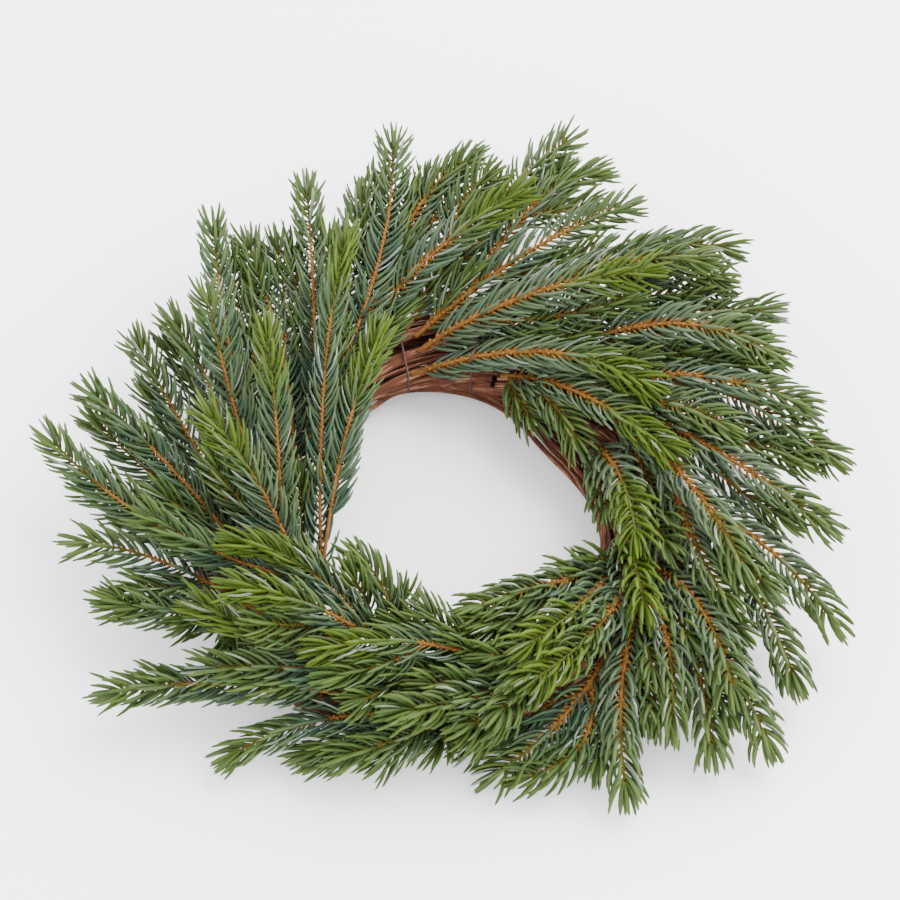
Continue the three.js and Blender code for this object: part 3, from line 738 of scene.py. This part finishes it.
def even_path(root, middle, tip):
    """The same curve at even steps of its length, read from a fine version of it. It ends a little short of
    the tip, which the needles reach."""
    fine = bow(root, middle, tip, np.linspace(0, 1, BOW_STATIONS))
    run = along_path(fine)
    stations = max(FEWEST_STATIONS, round(run[-1] / STEM_STEP))
    return read_along(fine, run, np.linspace(0, run[-1] - SHORT_OF_TIP, stations))


def shoots_of(place, index):
    """Each shoot of a spray as its path, its radius at the root and whether its tip is fresh. A twig leaves
    its shoot wide of the straight line to its tip and bends forwards: its middle stands off that line, away
    from the shoot, by a share of its length."""
    spray = SPRAYS[place][index]
    main = [RING_CENTRE + np.array(point) * MM for point in spray["main"]]
    bows = [(*main, BUTT_RADIUS, spray.get("fresh", False))]
    for side in spray["sides"]:
        fork = bow(*main, np.array([side["from"]]))[0]
        run = [RING_CENTRE + np.array(point) * MM for point in side["run"]]
        bows.append((fork, *run, FORK_RADIUS, side.get("fresh", False)))
    for carrier, share, tip in TWIGS.get((place, index + 1), []):
        fork, beyond = bow(*bows[carrier][:3], np.array([share, share + TWIG_LOOK_AHEAD]))
        tip = RING_CENTRE + np.array(tip) * MM
        straight = tip - fork
        ahead = unit(beyond - fork)
        aside = straight - (straight @ ahead) * ahead
        middle = (fork + tip) / 2 + TWIG_SPREAD * np.linalg.norm(straight) * unit(aside)
        bows.append((fork, middle, tip, TWIG_RADIUS, False))
    return [(even_path(*points), radius, fresh) for *points, radius, fresh in bows]


def age_towards_tip(from_tip, fresh):
    """How young the wood and needles are, from 0 on last year's to 1 on this spring's bright tips."""
    if fresh:
        return 1 - smooth_step(from_tip, *FRESH_FADE)
    return TIP_AGE * (1 - smooth_step(from_tip, *TIP_FADE))


def stem_tube(path, root_radius, place, draws):
    """A shoot's twig: a tube that tapers evenly to its tip, its bark raised in ridges that wind round it,
    as a cosine of the angle and the way along, and end in the pegs that needles stand on."""
    run = along_path(path)
    taper = root_radius + (TIP_RADIUS - root_radius) * run / run[-1]
    winding = run[:, None] / RIDGE_LENGTH + draws.uniform(*ANY_PHASE)
    pegs = np.cos(RIDGES_ROUND * corner_angles(STEM_SIDES)[None] + winding)
    radii = BARK_SHARES[place] * taper[:, None] * (1 + RIDGES[place] * pegs)
    return swept(path, np.broadcast_to(UPRIGHT, path.shape), radii)


def joined(parts):
    """Several meshes' points and faces as one: each part's faces count on from the points before it."""
    firsts = np.cumsum([0] + [len(points) for points, _, _ in parts])
    points = np.concatenate([part[0] for part in parts])
    quads = np.concatenate([part[1] + first for part, first in zip(parts, firsts)])
    tris = np.concatenate([part[2] + first for part, first in zip(parts, firsts)])
    return points, quads, tris


stem_bark = bark_material("stem_bark", STEM_BROWN, STEM_FIBRE, STEM_STAIN,
                          STEM_GRAIN_SCALE, STEM_PALE_SHARE, STEM_GRAIN_DEPTH, STEM_YOUNG)

for place, sprays in SPRAYS.items():
    for index in range(len(sprays)):
        draws = np.random.default_rng([STEM_SEED, index, len(place)])
        parts, grains, ages = [], [], []
        for path, root_radius, fresh in shoots_of(place, index):
            points, bands, ends, around, along = stem_tube(path, root_radius, place, draws)
            parts.append((points, bands, ends))
            grains.append(grain_of(around, along, root_radius, STEM_GRAIN_STRETCH))
            age = age_towards_tip(along[-1] - along, fresh)
            ages.append(np.concatenate([age, age[[0, -1]]]))
        stem = new_piece(f"stem_{place}_{index + 1}", *joined(parts))
        add_attribute(stem, "grain", np.concatenate(grains))
        add_attribute(stem, "age", np.concatenate(ages))
        stem.data.materials.append(stem_bark)
        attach(stem, "root")
        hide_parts(f"spray_{place}_{index + 1}")

# The needles: four-sided, stiff and waxy, each on a short brown peg. They leave the twig on all sides and
# curve forwards. Last year's are blue-green, and this spring's a bright yellow-green.
NEEDLE_SEED = 11
NEEDLE_LENGTH = 23.5 * MM
NEEDLE_THINNESS = 0.88
NEEDLE_CORNERS = 4
RING_SHARES = np.array([0, 0.1, 0.38, 0.68, 0.9])
RING_WIDTHS = np.array([0.5, 0.8, 1.0, 0.92, 0.58])
OVER_TABLE = 0.2 * MM
GOLDEN_TURN = math.pi * (3 - math.sqrt(5))
LEAN_SPREAD = math.radians(5)
BEND_SPREAD = math.radians(9)
SPACING_NOISE = 0.4
TURN_NOISE = 0.25
LEAN_NOISE = 0.06
BEND_NOISE = (0.75, 1.25)
LENGTH_NOISE = (0.86, 1.06)
ROLL_NOISE = 0.35
SWAY_NOISE = 0.04
COMBED = (0.8, 0.4)
CROWN_NEEDLES = 7
CROWN_LEANS = np.radians([8, 44])
CROWN_LENGTH = 0.92
TIP_REACH = 26 * MM
TIP_LEAN_LOSS = 0.14
TIP_BEND_LOSS = 0.35
BARE_BUTT = 9
BARE_FORK = 4
ROOT_SHARE = 0.4
SHED_SHARE = 0.8
SHED_TOP = (0.3, 0.66)
SHED_AGES = (0.05, 0.35)
PEG_LENGTHS = np.array([0.8, 11]) * MM
PEG_EDGE = (-0.04, 0.06)
DEAD_SHARE = 0.0015
DEAD_AGE = 0.2
OLD_DARK = (0.018, 0.032, 0.014, 1)
OLD_LIGHT = (0.045, 0.071, 0.029, 1)
OLD_BLUE = (0.018, 0.041, 0.027, 1)
OLD_TIP = (0.058, 0.083, 0.034, 1)
# Painted sheen: a paler colour that stands in for the window's light on the sprays it falls on most.
PAINTED_SHEEN = (0.078, 0.106, 0.060, 1)
NEW_DARK = (0.024, 0.043, 0.002, 1)
NEW_LIGHT = (0.046, 0.074, 0.004, 1)
OLD_PEG = (0.13, 0.058, 0.010, 1)
NEW_PEG = (0.06, 0.08, 0.012, 1)
DRY_TAN = (0.10, 0.055, 0.022, 1)
BLUE_SCALE = 28
BLUE_FADE = (0.42, 0.62)
BLUE_SHARE = 0.7
LIGHT_TIP_FADE = (0.5, 1.0)
LIGHT_TIP_SHARE = 0.4
SHINES = (0.11, 0.85)
SHINY_ROUGHNESS = (0.45, 0.24)

# A green needle's shade is a number from 0 to 1, and those with the lowest shine. Dry needles and bare pegs
# have numbers of their own beyond that, and the colour turns to theirs across the range below each.
DEAD = 2.0
PEG = 3.0
SHINY_SHADES = (0.09, 0.05)
DEAD_SHADES = (1.2, 1.8)
PEG_SHADES = (2.4, 2.8)

# How needles grow on each side of the ring: their lean and bend in degrees, their spacing and half width in
# millimetres, how much of their length is brown peg, and how much painted sheen lightens them: a paler
# colour that stands in for the window's light, on the sides that it falls on most.
HABITS = {
    "left": {"lean": 44, "bend": 34, "spacing": 1.24, "half_width": 1.15, "peg": 0.04, "pale": 0.0},
    "lower_left": {"lean": 48, "bend": 42, "spacing": 1.24, "half_width": 1.25, "peg": 0.07, "pale": 0.0},
    "lower_right": {"lean": 62, "bend": 68, "spacing": 1.28, "half_width": 1.45, "peg": 0.12, "pale": 0.38},
    "right": {"lean": 57, "bend": 58, "spacing": 1.18, "half_width": 1.35, "peg": 0.16, "pale": 0.34},
    "top": {"lean": 48, "bend": 38, "spacing": 1.18, "half_width": 1.25, "peg": 0.16, "pale": 0.24},
}


def needle_meshes(half_width, roots, forward, outward, lengths, leans, bends, rolls, sways):
    """Needles as one mesh. A needle leaves its root at its lean from the twig's direction, and bends
    forwards evenly along its length, so it is an arc of a circle: forwards by length x (sin lean - sin of
    what is left of it) / bend, outwards by length x (cos of what is left - cos lean) / bend. It also sways
    sideways as the square of the way along. Four corners stand round it, wide across and thin in depth,
    rolled by the roll, and draw in to a point."""
    count = len(roots)
    shares = np.append(RING_SHARES, 1.0)[None, :, None]
    lean, bend = leans[:, None, None], bends[:, None, None]
    left = lean - bend * shares
    ahead = lengths[:, None, None] * (np.sin(lean) - np.sin(left)) / bend
    out = lengths[:, None, None] * (np.cos(left) - np.cos(lean)) / bend
    across = np.cross(forward, outward)
    sway = (sways * lengths)[:, None, None] * shares ** 2
    middle = (roots[:, None] + ahead * forward[:, None] + out * outward[:, None] + sway * across[:, None])
    depth = np.cos(left) * outward[:, None] - np.sin(left) * forward[:, None]
    wide = np.cos(rolls)[:, None, None] * across[:, None] + np.sin(rolls)[:, None, None] * depth
    deep = np.cos(rolls)[:, None, None] * depth - np.sin(rolls)[:, None, None] * across[:, None]
    turn = corner_angles(NEEDLE_CORNERS)[None, None, :, None]
    widths = RING_WIDTHS[None, :, None, None]
    width = half_width * widths * np.cos(turn)
    thick = NEEDLE_THINNESS * half_width * widths * np.sin(turn)
    corners = middle[:, :-1, None] + width * wide[:, :-1, None] - thick * deep[:, :-1, None]
    points = np.concatenate([corners.reshape(count, -1, 3), middle[:, -1:]], axis=1)
    last = (len(RING_SHARES) - 1) * NEEDLE_CORNERS
    tip = last + NEEDLE_CORNERS
    here = np.arange(NEEDLE_CORNERS)
    onward = (here + 1) % NEEDLE_CORNERS
    row = np.arange(0, last, NEEDLE_CORNERS)[:, None]
    above = row + NEEDLE_CORNERS
    bands = np.stack([row + here, row + onward, above + onward, above + here], axis=-1).reshape(-1, 4)
    foot = here[::-1][None]
    point = np.stack([last + here, last + onward, np.full(NEEDLE_CORNERS, tip)], axis=1)
    firsts = (np.arange(count) * (tip + 1))[:, None, None]
    quads = (np.concatenate([bands, foot])[None] + firsts).reshape(-1, 4)
    tris = (point[None] + firsts).reshape(-1, 3)
    along = np.append(np.repeat(RING_SHARES, NEEDLE_CORNERS), 1.0)
    return points.reshape(-1, 3), quads, tris, np.tile(along, count)


def needles_of(path, root_radius, fresh, bare, habit, draws):
    """Where each needle of a shoot grows and how. They follow one another up the twig by the golden turn,
    each shoot with a lean and a bend of its own, but those above and below the twig are combed towards its
    two sides. A crown of them spreads round the bud at the tip. From the top of old wood most are shed,
    which leaves their pegs. Gives their forms, how young they are, their shades and how far from the tip."""
    run = along_path(path)
    lean = math.radians(habit["lean"]) + draws.uniform(-LEAN_SPREAD, LEAN_SPREAD)
    bend = math.radians(habit["bend"]) + draws.uniform(-BEND_SPREAD, BEND_SPREAD)
    spacing = habit["spacing"] * MM
    places = np.arange(bare, run[-1], spacing)
    places = places + draws.uniform(-SPACING_NOISE, SPACING_NOISE, len(places)) * spacing
    crown = np.arange(len(places) + CROWN_NEEDLES) >= len(places)
    places = np.clip(np.concatenate([places, np.full(CROWN_NEEDLES, run[-1])]), 0, run[-1])
    count = len(places)
    turns = np.arange(count) * GOLDEN_TURN + draws.uniform(-TURN_NOISE, TURN_NOISE, count)
    lift = np.arcsin(np.sin(turns))
    lift = lift * np.where(crown, 1, np.where(lift > 0, *COMBED))
    forward = unit(read_along(np.gradient(path, axis=0), run, places))
    side = unit(np.cross(forward, UPRIGHT))
    above = np.cross(side, forward)
    outward = (np.sign(np.cos(turns)) * np.cos(lift))[:, None] * side + np.sin(lift)[:, None] * above
    taper = root_radius + (TIP_RADIUS - root_radius) * places / run[-1]
    roots = read_along(path, run, places) + outward * (ROOT_SHARE * taper)[:, None]
    from_tip = run[-1] - places
    near_tip = 1 - smooth_step(from_tip, 0, TIP_REACH)
    leans = lean * (1 - TIP_LEAN_LOSS * near_tip) + draws.normal(0, LEAN_NOISE, count)
    leans = np.where(crown, draws.uniform(*CROWN_LEANS, count), leans)
    bends = bend * (1 - TIP_BEND_LOSS * near_tip) * draws.uniform(*BEND_NOISE, count)
    bends = np.where(crown, np.minimum(bends, leans), bends)
    lengths = NEEDLE_LENGTH * draws.uniform(*LENGTH_NOISE, count) * np.where(crown, CROWN_LENGTH, 1)
    rolls = draws.normal(0, ROLL_NOISE, count)
    sways = draws.normal(0, SWAY_NOISE, count)
    age = age_towards_tip(from_tip, fresh)
    on_top = smooth_step(np.sin(turns), *SHED_TOP) * (1 - smooth_step(age, *SHED_AGES))
    shed = draws.uniform(0, 1, count) < SHED_SHARE * on_top
    lengths = np.where(shed, PEG_LENGTHS @ (1, habit["peg"]), lengths)
    dead = draws.uniform(0, 1, count) < DEAD_SHARE * (age < DEAD_AGE)
    shade = draws.uniform(0, 1, count)
    shade = np.where(shed, PEG, np.where(dead, DEAD, shade))
    return (roots, forward, outward, lengths, leans, bends, rolls, sways), age, shade, from_tip


def needle_material():
    """Waxy needles. The green runs from blue-green to yellow-green with the needle's age, a little paler
    or darker needle by needle, and brown on the peg. Old ones are paler to the tip, and on some sprays a
    painted sheen lightens them, standing in for the window's light on that side. A few old needles are dry
    and tan, and a few shine."""
    material, tree, surface = new_material("spruce_needles")
    along, age, shade = read(tree, "along"), read(tree, "age"), read(tree, "shade")
    patches = noise(tree, place_on_piece(tree), BLUE_SCALE)
    blue = ramp(tree, patches, *BLUE_FADE, top=BLUE_SHARE, smooth=True)
    old = blend(tree, blue, blend(tree, shade, OLD_DARK, OLD_LIGHT), OLD_BLUE)
    old = blend(tree, ramp(tree, along, *LIGHT_TIP_FADE, top=LIGHT_TIP_SHARE, smooth=True), old, OLD_TIP)
    # Painted sheen: the old needles of the sprays that the window lights most are turned paler, as if by its
    # light.
    old = blend(tree, read(tree, "pale"), old, PAINTED_SHEEN)
    green = blend(tree, age, old, blend(tree, shade, NEW_DARK, NEW_LIGHT))
    past_peg = worked_out(tree, "SUBTRACT", along, read(tree, "peg"))
    off_peg = ramp(tree, past_peg, *PEG_EDGE, smooth=True)
    colour = blend(tree, off_peg, blend(tree, age, OLD_PEG, NEW_PEG), green)
    colour = blend(tree, ramp(tree, shade, *DEAD_SHADES, smooth=True), colour, DRY_TAN)
    colour = blend(tree, ramp(tree, shade, *PEG_SHADES, smooth=True), colour, OLD_PEG)
    shiny = ramp(tree, shade, *SHINY_SHADES, smooth=True)
    feed(tree, surface["Base Color"], colour)
    feed(tree, surface["Specular IOR Level"], ramp(tree, shiny, 0.0, 1.0, *SHINES, smooth=True))
    feed(tree, surface["Roughness"], ramp(tree, shiny, 0.0, 1.0, *SHINY_ROUGHNESS, smooth=True))
    return material


spruce_needles = needle_material()


def add_needles(name, node, habit, grown, chosen):
    """A piece of the chosen needles of one or more shoots, which stands for one node."""
    parts, alongs, ages, shades = [], [], [], []
    for (forms, age, shade, _), pick in zip(grown, chosen):
        if not pick.any():
            continue
        picked = [values[pick] for values in forms]
        points, quads, tris, along = needle_meshes(habit["half_width"] * MM, *picked)
        points[:, 2] = np.maximum(points[:, 2], OVER_TABLE)
        parts.append((points, quads, tris))
        per_needle = len(along) // pick.sum()
        alongs.append(along)
        ages.append(np.repeat(age[pick], per_needle))
        shades.append(np.repeat(shade[pick], per_needle))
    piece = new_piece(name, *joined(parts))
    add_attribute(piece, "along", np.concatenate(alongs))
    add_attribute(piece, "age", np.concatenate(ages))
    add_attribute(piece, "shade", np.concatenate(shades))
    for trait in ("peg", "pale"):
        add_attribute(piece, trait, np.full(len(piece.data.vertices), habit[trait]))
    piece.data.materials.append(spruce_needles)
    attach(piece, "root")
    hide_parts(node)


for place, sprays in SPRAYS.items():
    for index, spray in enumerate(sprays):
        draws = np.random.default_rng([NEEDLE_SEED, index, len(place)])
        habit = HABITS[place] | {"pale": spray.get("pale", HABITS[place]["pale"])}
        spray_name = f"{place}_{index + 1}"
        grown, bright, tip_names = [], [], []
        for number, (path, root_radius, fresh) in enumerate(shoots_of(place, index)):
            bare = (BARE_FORK if number else spray.get("bare", BARE_BUTT)) * MM
            grown.append(needles_of(path, root_radius, fresh, bare, habit, draws))
            tip_names.append(spray_name + ("_side" if number else ""))
            own_node = fresh and f"new_growth_{tip_names[-1]}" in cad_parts
            bright.append((grown[-1][3] < NEW_GROWTH_LENGTH) & own_node)
        add_needles(f"needles_{spray_name}", f"spray_{spray_name}", habit,
                    grown, [~pick for pick in bright])
        for shoot, tip_name, pick in zip(grown, tip_names, bright):
            if pick.any():
                add_needles(f"new_needles_{tip_name}", f"new_growth_{tip_name}", habit,
                            [shoot], [pick])
